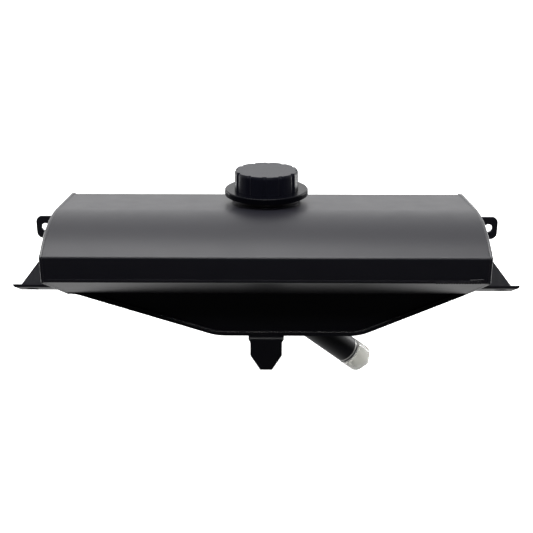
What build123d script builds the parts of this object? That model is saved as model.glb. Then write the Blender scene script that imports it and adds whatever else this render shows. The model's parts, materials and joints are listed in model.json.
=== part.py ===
from build123d import *
from math import cos, radians, sin, tan
import os

# Welded sheet-metal hydraulic reservoir, millimetres.
# Origin: midway between the two ear holes, on the ears' rear seating face.
# +X along the tank, +Y to the rear, +Z up along the filler cap's axis.

os.makedirs("parts", exist_ok=True)

# ---------------------------------------------------------------- tank body
HALF_LENGTH = 200.0
SHEET = 2.5
DEPTH = 148.0
FRONT_Y = -DEPTH
EDGE_Z = 19.0
LOW_FRONT_Z = -4.75
REAR_TOP_Z = 35.8
SLOPE_DEG = 31.0
TOP_FALL_DEG = 3.9
UNDER_DEG = 27.5
SUMP_FRONT_Y = -60.0
FRONT_BEND_R = 3.0
TOP_BEND_R = 115.0
REAR_BEND_R = 3.0
LOW_BEND_R = 1.5
HEEL_R = 2.0
FRONT_SEAM_Z = -3.0
REAR_SEAM_Z = 29.0
INNER_HALF = HALF_LENGTH - SHEET

# ---------------------------------------------------------------- sump
SUMP_BOTTOM_Z = -95.5
SUMP_END_Z = -50.5
SUMP_LEFT_TOP_X = -190.0
SUMP_LEFT_X = -50.0
SUMP_RIGHT_X = 94.5
SUMP_CORNER_R = 50.0
SUMP_TOP_R = 30.0
PAN_LIP = 3.0

# ---------------------------------------------------------------- filler neck and cap
NECK_Y = -36.0
NECK_R = 32.7
NECK_TOP_Z = 43.9
NECK_BOTTOM_Z = 26.0
NECK_LEDGE_Z = 29.0
NECK_LEDGE_R = 26.6
NECK_HOLE_GAP = 0.2
THREAD_PITCH = 4.0
THREAD_TURNS = 2.25
THREAD_START_Z = 34.4
BORE_ROOT_R = 28.8
BORE_CREST_R = 27.3
PLUG_ROOT_R = 26.9
PLUG_CREST_R = 28.3
RIDGE_ROOT_W = 1.8
RIDGE_CREST_W = 1.0
RIDGE_EMBED = 0.3
PLUG_BORE_R = 23.0
PLUG_BOTTOM_Z = 32.6
GASKET_T = 2.0
GASKET_INSET = 0.4
FLANGE_R = 40.8
FLANGE_Z = NECK_TOP_Z + GASKET_T
FLANGE_T = 5.8
FLANGE_TOP_ROUND = 1.2
FLANGE_LOW_ROUND = 0.8
KNOB_Z = FLANGE_Z + FLANGE_T
KNOB_TOP_Z = 70.1
KNOB_R = 31.2
KNOB_WALL = 4.8
KNOB_ROOF = 3.4
KNOB_ROUND = 0.8
FLUTES = 12
FLUTE_R = 1.9
FLUTE_CENTRE_R = 31.6

# ---------------------------------------------------------------- relief valve and breather
SEAT_R = 6.0
DISC_R = 9.5
DISC_T = 1.5
CAGE_R = 13.0
CAGE_WALL = 1.2
CAGE_H = 11.0
CAGE_BAND = 2.4
CAGE_WINDOWS = 4
WINDOW_W = 8.0
FOAM_R = 25.4
FOAM_GAP = 0.3
FOAM_H = 9.0
SPRING_R = 6.5
SPRING_WIRE_R = 0.5
SPRING_COILS = 4.0
VENT_HOLES = 6
VENT_R = 1.5
VENT_CENTRE_R = 18.5

# ---------------------------------------------------------------- strainers
BASKET_R = 26.0
BASKET_RIM_R = 28.5
BASKET_RIM_T = 1.5
BASKET_H = 46.0
BASKET_WALL = 1.6
BASKET_RIBS = 8
BASKET_RIB_W = 3.2
BASKET_BAND = 4.8
MESH_T = 0.6
STRAINER_L = 46.0
STRAINER_W = 34.0
STRAINER_H = 16.0
STRAINER_WALL = 1.2
STRAINER_CORNER_R = 6.0
STRAINER_ROUND = 3.0
STRAINER_MARGIN = 4.0
STRAINER_SLOTS = 9
STRAINER_SLOT_W = 2.0
STRAINER_SLOT_L = 26.8

# ---------------------------------------------------------------- brackets
PLATE = 3.0
EAR_TIP_X = 239.0
EAR_H = 24.0
EAR_LEG = 25.0
EAR_HOLE_X = 229.5
EAR_HOLE_R = 4.2
EAR_CORNER_R = 6.5
FOOT_TIP_X = 237.5
FOOT_CORNER_R = 1.2
FOOT_FRONT_Y = -110.0
FOOT_DEPTH = 27.0
FOOT_HOLE_X = 222.0
FOOT_HOLE_R = 6.0
FOOT_HOLE_IN = 13.0
WEB_FOOT_X = 229.0
WEB_TOP_X = 201.5
WEB_H = 42.0
BRACKET_BEND_R = 2.8
TAB_HALF = 16.1
TAB_ROOT_HALF = 18.0
TAB_ROOT_R = 4.0
TAB_TIP_HALF = 6.0
TAB_SHOULDER_Z = -116.3
TAB_TIP_Z = -132.4
TAB_FRONT_Y = -65.5
TAB_LEG = 24.0
TAB_BEND_R = 4.0

# ---------------------------------------------------------------- ports
OUTLET_X = 46.0
OUTLET_Y = -32.0
OUTLET_AZIMUTH = 21.5
OUTLET_DROP = 40.4
OUTLET_R = 14.3
OUTLET_BORE_R = 12.0
OUTLET_L = 55.0
SPIGOT_R = 13.8
SPIGOT_L = 19.0
LEAD_IN = 0.8
GROOVE_AT = 2.2
GROOVE_W = 1.8
GROOVE_R = 12.8
CLIP_WIRE_R = 0.8
CLIP_FIT = 0.02
CLIP_GAP_DEG = 38.0
CLIP_TURN_DEG = 20.0
COVER_AT = 5.0
COVER_INNER_R = 13.9
COVER_WALL = 0.9
COVER_L = 19.5
COVER_ROOF = 1.5
COVER_ROUND = 2.2
NUB_R = 4.6
NUB_L = 8.5
NUB_ROUND = 1.6
RETURN_X = -110.0
RETURN_Z = -10.0
RETURN_R = 15.0
RETURN_BORE_R = 10.5
RETURN_OUT = 12.0
RETURN_IN = 8.0
DIFFUSER_R = 11.0
DIFFUSER_BORE_R = 9.0
DIFFUSER_L = 62.0
DIFFUSER_HOLES = 5
DIFFUSER_HOLE_R = 3.0

# ---------------------------------------------------------------- baffles and welds
BAFFLE_X = (-62.0, 92.0)
BAFFLE_T = 2.0
BAFFLE_TOP_Z = 24.0
BAFFLE_SHOULDER_Y = -85.0
BAFFLE_FRONT_GAP = 25.0
BAFFLE_HOLE_R = 13.0
BAFFLE_HOLES = ((-92.0, -8.0), (-53.0, -14.0), (-19.0, -20.0))
WELD_PROUD = 0.9
WELD_W = 3.2
WELD_LEG = 2.6
BEAD_R = 1.8
FILLET_DEG = 45.0


def export(shape, node):
    export_step(shape, f"parts/{node}.step")


def slope_z(y):
    """Height of the inclined underside's outer face at depth y."""
    return LOW_FRONT_Z - (y - FRONT_Y) * tan(radians(UNDER_DEG))


def round_corner(sketch, corner, radius):
    nearest = sketch.vertices().sort_by_distance(Vector(*corner, 0))[0]
    return fillet(nearest, radius)


def side_slab(sketch, x0, x1):
    """A (Y, Z) sketch made solid from x0 to x1."""
    return extrude(Plane.YZ.offset(x0) * sketch, amount=x1 - x0)


def front_slab(sketch, y_back, y_front):
    """An (X, Z) sketch made solid from y_back forward to y_front."""
    plane = Plane(origin=(0, y_back, 0), x_dir=(1, 0, 0), z_dir=(0, -1, 0))
    return extrude(plane * sketch, amount=y_back - y_front)


def box_2d(x0, x1, y0, y1):
    return Pos((x0 + x1) / 2, (y0 + y1) / 2) * Rectangle(x1 - x0, y1 - y0)


def tube(outer_r, inner_r, z0, z1):
    height = z1 - z0
    return Pos(0, 0, (z0 + z1) / 2) * (Cylinder(outer_r, height) - Cylinder(inner_r, height))


def disc(radius, z0, z1):
    return Pos(0, 0, (z0 + z1) / 2) * Cylinder(radius, z1 - z0)


def mirrored(shape, side):
    """The right-hand shape as it is, or its mirror image on the left."""
    return shape if side > 0 else mirror(shape, about=Plane.YZ)


# ---------------------------------------------------------------- tank profile
PEAK_Y = (REAR_TOP_Z - EDGE_Z + FRONT_Y * tan(radians(SLOPE_DEG))) / (
    tan(radians(SLOPE_DEG)) + tan(radians(TOP_FALL_DEG)))
PEAK_Z = EDGE_Z + (PEAK_Y - FRONT_Y) * tan(radians(SLOPE_DEG))
HEEL_Z = slope_z(SUMP_FRONT_Y)
LOW_CORNER = (FRONT_Y, LOW_FRONT_Z)
EDGE_CORNER = (FRONT_Y, EDGE_Z)
PEAK_CORNER = (PEAK_Y, PEAK_Z)
REAR_CORNER = (0, REAR_TOP_Z)


def rounded_profile(lower_points):
    """Side profile of the tank, closed below by the given points, corners rounded."""
    profile = Polygon(LOW_CORNER, *lower_points, REAR_CORNER, PEAK_CORNER, EDGE_CORNER)
    profile = round_corner(profile, LOW_CORNER, LOW_BEND_R)
    profile = round_corner(profile, EDGE_CORNER, FRONT_BEND_R)
    profile = round_corner(profile, PEAK_CORNER, TOP_BEND_R)
    return round_corner(profile, REAR_CORNER, REAR_BEND_R)


def wrapper_ring():
    outer = rounded_profile([(0, slope_z(0))])
    return outer - offset(outer, -SHEET)


def end_outline():
    outline = rounded_profile([(SUMP_FRONT_Y, HEEL_Z), (0, HEEL_Z)])
    return round_corner(outline, (SUMP_FRONT_Y, HEEL_Z), HEEL_R)


def above_underside():
    """Space above the plane of the underside's outer face, in front of the sump plate's back."""
    back = SUMP_FRONT_Y + SHEET
    front = FRONT_Y - SHEET
    region = Polygon((front, slope_z(front)), (back, slope_z(back)), (back, EDGE_Z), (front, EDGE_Z))
    return side_slab(region, -HALF_LENGTH, HALF_LENGTH)


def sump_outline():
    """Front view of everything above the sump pan's outer face, run past both tank ends."""
    margin = HALF_LENGTH + 6 * SHEET
    outline = Polygon(
        (-margin, SUMP_END_Z), (SUMP_LEFT_TOP_X, SUMP_END_Z), (SUMP_LEFT_X, SUMP_BOTTOM_Z),
        (SUMP_RIGHT_X, SUMP_BOTTOM_Z), (INNER_HALF, SUMP_END_Z), (margin, SUMP_END_Z),
        (margin, REAR_TOP_Z), (-margin, REAR_TOP_Z))
    outline = round_corner(outline, (SUMP_LEFT_TOP_X, SUMP_END_Z), SUMP_TOP_R)
    outline = round_corner(outline, (SUMP_LEFT_X, SUMP_BOTTOM_Z), SUMP_CORNER_R)
    return round_corner(outline, (SUMP_RIGHT_X, SUMP_BOTTOM_Z), SUMP_CORNER_R)


RING = wrapper_ring()
END_OUTLINE = end_outline()
SUMP_OUTLINE = sump_outline()
SUMP_INSIDE = offset(SUMP_OUTLINE, -SHEET)
ABOVE_UNDERSIDE = above_underside()
TOP_AT_NECK_Z = REAR_TOP_Z - NECK_Y * tan(radians(TOP_FALL_DEG))


# ---------------------------------------------------------------- outlet axis
OUTLET_DIR = Vector(
    cos(radians(OUTLET_DROP)) * cos(radians(OUTLET_AZIMUTH)),
    cos(radians(OUTLET_DROP)) * sin(radians(OUTLET_AZIMUTH)),
    -sin(radians(OUTLET_DROP)))
OUTLET_PLANE = Plane(
    origin=(OUTLET_X, OUTLET_Y, SUMP_BOTTOM_Z),
    x_dir=(-sin(radians(OUTLET_AZIMUTH)), cos(radians(OUTLET_AZIMUTH)), 0),
    z_dir=OUTLET_DIR)


def along_outlet(shape, start):
    """A shape built up the +Z axis, laid along the outlet from the given distance."""
    return OUTLET_PLANE * (Pos(0, 0, start) * shape)


# ---------------------------------------------------------------- sheet-metal pieces
def top_front_shell():
    rear_cut = box_2d(-8 * SHEET, SHEET, slope_z(0) - SHEET, REAR_SEAM_Z)
    low_cut = box_2d(FRONT_Y - SHEET, SHEET, slope_z(0) - SHEET, FRONT_SEAM_Z)
    shell = side_slab(RING - rear_cut - low_cut, -INNER_HALF, INNER_HALF)
    hole = Pos(0, NECK_Y, TOP_AT_NECK_Z) * Cylinder(NECK_R + NECK_HOLE_GAP, 8 * SHEET)
    return shell - hole


def underside_plate():
    back = SUMP_FRONT_Y + SHEET
    strip = box_2d(FRONT_Y - SHEET, back, slope_z(0) - SHEET, FRONT_SEAM_Z)
    return side_slab(RING & strip, -INNER_HALF, INNER_HALF)


def sump_front_plate():
    outline = SUMP_INSIDE & box_2d(-INNER_HALF, INNER_HALF, SUMP_BOTTOM_Z, 0)
    return front_slab(outline, SUMP_FRONT_Y + SHEET, SUMP_FRONT_Y) - ABOVE_UNDERSIDE


def rear_panel():
    outline = SUMP_INSIDE & box_2d(-INNER_HALF, INNER_HALF, SUMP_BOTTOM_Z, REAR_SEAM_Z)
    panel = front_slab(outline, 0, -SHEET)
    hole = Rot(90, 0, 0) * Cylinder(RETURN_R + NECK_HOLE_GAP, 6 * SHEET)
    return panel - Pos(RETURN_X, 0, RETURN_Z) * hole


def sump_pan():
    between_ends = box_2d(-INNER_HALF, INNER_HALF, 2 * SUMP_BOTTOM_Z, -2 * PLATE)
    strip = (SUMP_OUTLINE - SUMP_INSIDE) & between_ends
    pan = front_slab(strip, 0, SUMP_FRONT_Y - PAN_LIP) - ABOVE_UNDERSIDE
    bore = along_outlet(Cylinder(OUTLET_BORE_R, 2 * OUTLET_L), 0)
    return pan - bore


def end_plate(side):
    return mirrored(side_slab(END_OUTLINE, INNER_HALF, HALF_LENGTH), side)


def baffle(x):
    """Cross plate standing on the underside and against the rear panel, with flow holes."""
    inner_rise = SHEET / cos(radians(UNDER_DEG))
    front_y = FRONT_Y + BAFFLE_FRONT_GAP
    back_y = SUMP_FRONT_Y + SHEET
    low_z = slope_z(back_y) + inner_rise
    outline = Polygon(
        (front_y, slope_z(front_y) + inner_rise), (back_y, low_z), (-SHEET, low_z),
        (-SHEET, BAFFLE_TOP_Z), (BAFFLE_SHOULDER_Y, BAFFLE_TOP_Z), (front_y, 0))
    for y, z in BAFFLE_HOLES:
        outline -= Pos(y, z) * Circle(BAFFLE_HOLE_R)
    return side_slab(outline, x, x + BAFFLE_T)


# ---------------------------------------------------------------- brackets
def ear(side):
    """Rear ear: a holed tongue behind the end plate, folded to a leg welded on the plate."""
    x0 = HALF_LENGTH
    fold = Polygon((x0, -EAR_LEG), (x0 + PLATE, -EAR_LEG), (x0 + PLATE, -PLATE), (EAR_TIP_X, -PLATE),
                   (EAR_TIP_X, 0), (x0, 0))
    fold = round_corner(fold, (x0, 0), BRACKET_BEND_R)
    blank = Pos(0, 0, -EAR_H / 2) * extrude(fold, amount=EAR_H)
    blank = fillet(blank.edges().filter_by(Axis.Y).sort_by(Axis.X)[-2:], EAR_CORNER_R)
    hole = Pos(EAR_HOLE_X, 0, 0) * (Rot(90, 0, 0) * Cylinder(EAR_HOLE_R, 4 * PLATE))
    return mirrored(blank - hole, side)


FOOT_PLANE = Plane(
    origin=(0, FOOT_FRONT_Y, slope_z(FOOT_FRONT_Y)),
    x_dir=(1, 0, 0),
    z_dir=(0, sin(radians(UNDER_DEG)), cos(radians(UNDER_DEG))))


def foot_bracket(side):
    """Foot flange lying in the plane of the underside, with a triangular web folded up in front."""
    flange_2d = box_2d(HALF_LENGTH, FOOT_TIP_X, 0, FOOT_DEPTH)
    flange = extrude(flange_2d, amount=PLATE)
    flange = fillet(flange.edges().filter_by(Axis.Z).sort_by(Axis.X)[-2:], FOOT_CORNER_R)
    web_2d = Polygon((HALF_LENGTH, 0), (WEB_FOOT_X, 0), (WEB_FOOT_X, PLATE), (WEB_TOP_X, WEB_H),
                     (HALF_LENGTH, WEB_H))
    web_plane = Plane(origin=(0, PLATE, 0), x_dir=(1, 0, 0), z_dir=(0, -1, 0))
    web = extrude(web_plane * web_2d, amount=PLATE)
    bracket = flange + web
    bend = bracket.edges().filter_by(Axis.X).sort_by_distance((HALF_LENGTH, 0, 0))[0]
    bracket = fillet(bend, BRACKET_BEND_R)
    hole = Pos(FOOT_HOLE_X, FOOT_HOLE_IN, 0) * Cylinder(FOOT_HOLE_R, 4 * PLATE)
    return mirrored(FOOT_PLANE * (bracket - hole), side)


def locating_tab():
    """Tongue folded down from a leg under the sump pan, with a chamfered tip."""
    leg_z = SUMP_BOTTOM_Z - PLATE
    front = TAB_FRONT_Y
    section = Polygon((front, TAB_TIP_Z), (front + PLATE, TAB_TIP_Z), (front + PLATE, leg_z),
                      (front + TAB_LEG, leg_z), (front + TAB_LEG, SUMP_BOTTOM_Z), (front, SUMP_BOTTOM_Z))
    section = round_corner(section, (front, SUMP_BOTTOM_Z), TAB_BEND_R)
    section = round_corner(section, (front + PLATE, leg_z), TAB_BEND_R - PLATE)
    bent = side_slab(section, -TAB_ROOT_HALF, TAB_ROOT_HALF)
    half = [(TAB_TIP_HALF, TAB_TIP_Z), (TAB_HALF, TAB_SHOULDER_Z), (TAB_HALF, leg_z - PLATE),
            (TAB_ROOT_HALF, leg_z), (TAB_ROOT_HALF, SUMP_BOTTOM_Z)]
    outline = Polygon(half + [(-x, z) for x, z in reversed(half)])
    for end in (1, -1):
        outline = round_corner(outline, (end * TAB_HALF, leg_z - PLATE), TAB_ROOT_R)
        outline = round_corner(outline, (end * TAB_HALF, TAB_SHOULDER_Z), PLATE)
    return bent & front_slab(outline, 0, 2 * SUMP_FRONT_Y)


# ---------------------------------------------------------------- threads
def thread_ridge(root_r, crest_r, start_z):
    """Helical ridge rising from root_r to crest_r."""
    helix = Helix(pitch=THREAD_PITCH, height=THREAD_PITCH * THREAD_TURNS, radius=root_r)
    outward = 1 if crest_r > root_r else -1
    section = Polygon(
        (-outward * RIDGE_EMBED, -RIDGE_ROOT_W / 2), (crest_r - root_r, -RIDGE_CREST_W / 2),
        (crest_r - root_r, RIDGE_CREST_W / 2), (-outward * RIDGE_EMBED, RIDGE_ROOT_W / 2))
    plane = Plane(origin=helix @ 0, x_dir=(1, 0, 0), z_dir=helix % 0)
    return Pos(0, 0, start_z) * sweep(plane * section, path=helix, is_frenet=True)


# ---------------------------------------------------------------- filler
def at_neck(shape):
    return Pos(0, NECK_Y, 0) * shape


def filler_neck():
    wall = tube(NECK_R, BORE_ROOT_R, NECK_LEDGE_Z, NECK_TOP_Z)
    ledge = tube(NECK_R, NECK_LEDGE_R, NECK_BOTTOM_Z, NECK_LEDGE_Z)
    ridge = thread_ridge(BORE_ROOT_R, BORE_CREST_R, THREAD_START_Z - THREAD_PITCH / 2)
    return at_neck(wall + ledge + ridge)


def strainer_frame():
    """Moulded basket: rim, bottom and ribs, open between the ribs."""
    rim_top = NECK_LEDGE_Z + BASKET_RIM_T
    bottom = rim_top - BASKET_H
    inner_r = BASKET_R - BASKET_WALL
    rim = tube(BASKET_RIM_R, inner_r, NECK_LEDGE_Z, rim_top)
    wall = tube(BASKET_R, inner_r, bottom, NECK_LEDGE_Z)
    floor = disc(BASKET_R, bottom, bottom + BASKET_WALL)
    window_h = BASKET_H - 2 * BASKET_BAND
    window_w = 2 * BASKET_R * sin(radians(180 / BASKET_RIBS)) - BASKET_RIB_W
    frame = rim + wall + floor
    for k in range(BASKET_RIBS // 2):
        window = Box(4 * BASKET_R, window_w, window_h)
        frame -= Pos(0, 0, bottom + BASKET_H / 2) * (Rot(0, 0, k * 360 / BASKET_RIBS) * window)
    return at_neck(frame)


def strainer_mesh():
    rim_top = NECK_LEDGE_Z + BASKET_RIM_T
    bottom = rim_top - BASKET_H + BASKET_WALL
    outer_r = BASKET_R - BASKET_WALL
    return at_neck(tube(outer_r, outer_r - MESH_T, bottom, rim_top - BASKET_RIM_T))


# ---------------------------------------------------------------- cap
def cap_base():
    """Wide flange with the threaded plug below it and the valve seat in its middle."""
    flange = disc(FLANGE_R, FLANGE_Z, KNOB_Z)
    rims = flange.edges().filter_by(GeomType.CIRCLE).sort_by(Axis.Z)
    flange = fillet(rims[-1], FLANGE_TOP_ROUND)
    low_rim = flange.edges().filter_by(GeomType.CIRCLE).sort_by(Axis.Z)[0]
    flange = fillet(low_rim, FLANGE_LOW_ROUND)
    plug = tube(PLUG_ROOT_R, PLUG_BORE_R, PLUG_BOTTOM_Z, FLANGE_Z)
    base = flange + plug + thread_ridge(PLUG_ROOT_R, PLUG_CREST_R, THREAD_START_Z)
    base -= disc(SEAT_R, FLANGE_Z, KNOB_Z)
    for k in range(VENT_HOLES):
        vent = Pos(VENT_CENTRE_R, 0, FLANGE_Z) * Cylinder(VENT_R, 4 * FLANGE_T)
        base -= Rot(0, 0, k * 360 / VENT_HOLES) * vent
    return at_neck(base)


def cap_knob():
    """Fluted cover, hollow below, standing on the flange."""
    knob = disc(KNOB_R, KNOB_Z, KNOB_TOP_Z)
    knob = fillet(knob.edges().filter_by(GeomType.CIRCLE).sort_by(Axis.Z)[-1], KNOB_ROUND)
    knob -= disc(KNOB_R - KNOB_WALL, KNOB_Z, KNOB_TOP_Z - KNOB_ROOF)
    for k in range(FLUTES):
        flute = Pos(0, -FLUTE_CENTRE_R, KNOB_TOP_Z) * Cylinder(FLUTE_R, 4 * (KNOB_TOP_Z - KNOB_Z))
        knob -= Rot(0, 0, k * 360 / FLUTES) * flute
    return at_neck(knob)


def cap_gasket():
    return at_neck(tube(NECK_R - GASKET_INSET, BORE_ROOT_R + GASKET_INSET, NECK_TOP_Z, FLANGE_Z))


def valve_cage():
    """Inverted cup over the relief valve with side windows."""
    cage = disc(CAGE_R, KNOB_Z, KNOB_Z + CAGE_H)
    cage -= disc(CAGE_R - CAGE_WALL, KNOB_Z, KNOB_Z + CAGE_H - CAGE_WALL)
    for k in range(CAGE_WINDOWS // 2):
        window = Box(4 * CAGE_R, WINDOW_W, CAGE_H - 2 * CAGE_BAND)
        turned = Rot(0, 0, (k + 1 / 2) * 360 / CAGE_WINDOWS) * window
        cage -= Pos(0, 0, KNOB_Z + CAGE_H / 2) * turned
    return at_neck(cage)


def relief_valve_disc():
    body = disc(DISC_R, KNOB_Z, KNOB_Z + DISC_T)
    boss = disc(SPRING_R - 2 * SPRING_WIRE_R, KNOB_Z + DISC_T, KNOB_Z + 2 * DISC_T)
    return at_neck(body + boss)


def relief_spring():
    """Coil spring between the valve disc and the cage's roof."""
    low = KNOB_Z + DISC_T + SPRING_WIRE_R
    high = KNOB_Z + CAGE_H - CAGE_WALL - SPRING_WIRE_R
    helix = Helix(pitch=(high - low) / SPRING_COILS, height=high - low, radius=SPRING_R)
    wire = Plane(origin=helix @ 0, z_dir=helix % 0) * Circle(SPRING_WIRE_R)
    return at_neck(Pos(0, 0, low) * sweep(wire, path=helix, is_frenet=True))


def breather_foam():
    return at_neck(tube(FOAM_R, CAGE_R + FOAM_GAP, KNOB_Z, KNOB_Z + FOAM_H))


# ---------------------------------------------------------------- outlet
def outlet_tube():
    """Straight tube mitred to the pan's underside."""
    wall = along_outlet(tube(OUTLET_R, OUTLET_BORE_R, -OUTLET_L, OUTLET_L), 0)
    block = Box(8 * OUTLET_L, 8 * OUTLET_L, 4 * OUTLET_L)
    return wall & Pos(OUTLET_X, OUTLET_Y, SUMP_BOTTOM_Z - 2 * OUTLET_L) * block


def outlet_spigot():
    """Bare machined end with the clip groove and a lead-in chamfer."""
    spigot = tube(SPIGOT_R, OUTLET_BORE_R, 0, SPIGOT_L)
    tip = spigot.edges().filter_by(GeomType.CIRCLE).sort_by(Axis.Z)[-2:].sort_by(SortBy.RADIUS)[-1]
    spigot = chamfer(tip, LEAD_IN)
    spigot -= tube(OUTLET_R, GROOVE_R, GROOVE_AT, GROOVE_AT + GROOVE_W)
    return along_outlet(spigot, OUTLET_L)


def spigot_clip():
    """Open ring of round wire in the spigot's groove."""
    ring_r = GROOVE_R + CLIP_WIRE_R + CLIP_FIT
    ring = Torus(ring_r, CLIP_WIRE_R, major_angle=360 - CLIP_GAP_DEG)
    turned = Rot(0, 0, CLIP_TURN_DEG) * ring
    return along_outlet(turned, OUTLET_L + GROOVE_AT + GROOVE_W / 2)


def outlet_cover():
    """Thin push-on cup with a grip nub on its end."""
    outer_r = COVER_INNER_R + COVER_WALL
    cup = disc(outer_r, 0, COVER_L)
    cup = fillet(cup.edges().filter_by(GeomType.CIRCLE).sort_by(Axis.Z)[-1], COVER_ROUND)
    cup -= disc(COVER_INNER_R, 0, COVER_L - COVER_ROOF)
    nub = disc(NUB_R, COVER_L - COVER_ROOF, COVER_L + NUB_L)
    nub = fillet(nub.edges().filter_by(GeomType.CIRCLE).sort_by(Axis.Z)[-1], NUB_ROUND)
    return along_outlet(cup + nub, OUTLET_L + COVER_AT)


def suction_strainer():
    """Slotted dome over the outlet's mouth, standing on the pan's inner face."""
    floor_z = SUMP_BOTTOM_Z + SHEET
    lift = SHEET / tan(radians(OUTLET_DROP))
    outer = Pos(0, 0, STRAINER_H / 2) * Box(STRAINER_L, STRAINER_W, STRAINER_H)
    outer = fillet(outer.edges().filter_by(Axis.Z), STRAINER_CORNER_R)
    outer = fillet(outer.faces().sort_by(Axis.Z)[-1].edges(), STRAINER_ROUND)
    inner_h = STRAINER_H - STRAINER_WALL
    inner = Box(STRAINER_L - 2 * STRAINER_WALL, STRAINER_W - 2 * STRAINER_WALL, inner_h)
    inner = fillet(inner.edges().filter_by(Axis.Z), STRAINER_CORNER_R - STRAINER_WALL)
    dome = outer - Pos(0, 0, inner_h / 2) * inner
    slot = Box(STRAINER_SLOT_W, STRAINER_SLOT_L, 4 * STRAINER_WALL)
    step = (STRAINER_L - 2 * STRAINER_MARGIN) / STRAINER_SLOTS
    for k in range(STRAINER_SLOTS):
        dome -= Pos((k - (STRAINER_SLOTS - 1) / 2) * step, 0, STRAINER_H) * slot
    x_shift = -lift * cos(radians(OUTLET_AZIMUTH))
    y_shift = -lift * sin(radians(OUTLET_AZIMUTH))
    place = Pos(OUTLET_X + x_shift, OUTLET_Y + y_shift, floor_z)
    return place * (Rot(0, 0, OUTLET_AZIMUTH) * dome)


# ---------------------------------------------------------------- return port
def along_return(shape):
    """A shape built up the +Z axis, laid along +Y at the return port."""
    return Pos(RETURN_X, 0, RETURN_Z) * (Rot(-90, 0, 0) * shape)


def return_bung():
    bung = tube(RETURN_R, RETURN_BORE_R, -RETURN_IN, RETURN_OUT)
    rim = bung.edges().filter_by(GeomType.CIRCLE).sort_by(Axis.Z)[-2:]
    return along_return(chamfer(rim, LEAD_IN))


def return_diffuser():
    """Closed perforated tube that spreads the returning oil."""
    end = -RETURN_IN - DIFFUSER_L
    body = tube(DIFFUSER_R, DIFFUSER_BORE_R, end, -RETURN_IN) + disc(DIFFUSER_R, end, end + SHEET)
    spacing = DIFFUSER_L / (DIFFUSER_HOLES + 1)
    for k in range(DIFFUSER_HOLES):
        hole = Rot(90, 0, 0) * Cylinder(DIFFUSER_HOLE_R, 4 * DIFFUSER_R)
        body -= Pos(0, 0, end + (k + 1) * spacing) * hole
    return along_return(body)


# ---------------------------------------------------------------- welds
def end_weld(side):
    """Bead band around the edge where the end plate meets the wrapper and the pan."""
    band = offset(END_OUTLINE, WELD_PROUD) - END_OUTLINE
    bead = mirrored(side_slab(band, HALF_LENGTH - WELD_W, HALF_LENGTH), side)
    return bead - underside_plate() - sump_pan()


def front_seam_weld():
    """Low bead along the front face's lower edge."""
    bead = Pos(FRONT_Y, FRONT_SEAM_Z) * Circle(WELD_PROUD)
    kept = bead & box_2d(FRONT_Y - BEAD_R, FRONT_Y, FRONT_SEAM_Z - BEAD_R, FRONT_SEAM_Z + BEAD_R)
    reach = HALF_LENGTH - WELD_W
    return side_slab(kept, -reach, reach)


def sump_weld():
    """Fillet bead in the corner between the sump's front plate and the pan's lip."""
    reach = INNER_HALF - WELD_W
    outline = SUMP_INSIDE & box_2d(-reach, reach, SUMP_BOTTOM_Z, LOW_FRONT_Z)
    solid = front_slab(outline, SUMP_FRONT_Y, SUMP_FRONT_Y - WELD_LEG)
    inner = offset(SUMP_INSIDE, -WELD_LEG)
    plane = Plane(origin=(0, SUMP_FRONT_Y, 0), x_dir=(1, 0, 0), z_dir=(0, -1, 0))
    core = extrude(plane * inner, amount=WELD_LEG, taper=-FILLET_DEG)
    return solid - core - ABOVE_UNDERSIDE


def neck_weld():
    """Sloping fillet bead where the neck passes through the top."""
    low = TOP_AT_NECK_Z - WELD_LEG
    cone = Pos(0, 0, TOP_AT_NECK_Z) * Cone(NECK_R + 2 * WELD_LEG, NECK_R, 2 * WELD_LEG)
    ring = at_neck(cone - disc(NECK_R, low - WELD_LEG, NECK_TOP_Z))
    above_top = Polygon((FRONT_Y, REAR_TOP_Z - FRONT_Y * tan(radians(TOP_FALL_DEG))), REAR_CORNER,
                        (0, 2 * NECK_TOP_Z), (FRONT_Y, 2 * NECK_TOP_Z))
    return ring & side_slab(above_top, -HALF_LENGTH, HALF_LENGTH)


def outlet_weld():
    collar = along_outlet(tube(OUTLET_R + WELD_LEG, OUTLET_R, -OUTLET_L, OUTLET_L), 0)
    slab = Box(4 * OUTLET_L, 4 * OUTLET_L, WELD_LEG)
    return collar & Pos(OUTLET_X, OUTLET_Y, SUMP_BOTTOM_Z - WELD_LEG / 2) * slab


def return_weld():
    cone = Pos(0, 0, WELD_LEG / 2) * Cone(RETURN_R + WELD_LEG, RETURN_R, WELD_LEG)
    return along_return(cone - disc(RETURN_R, 0, WELD_LEG))


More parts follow.
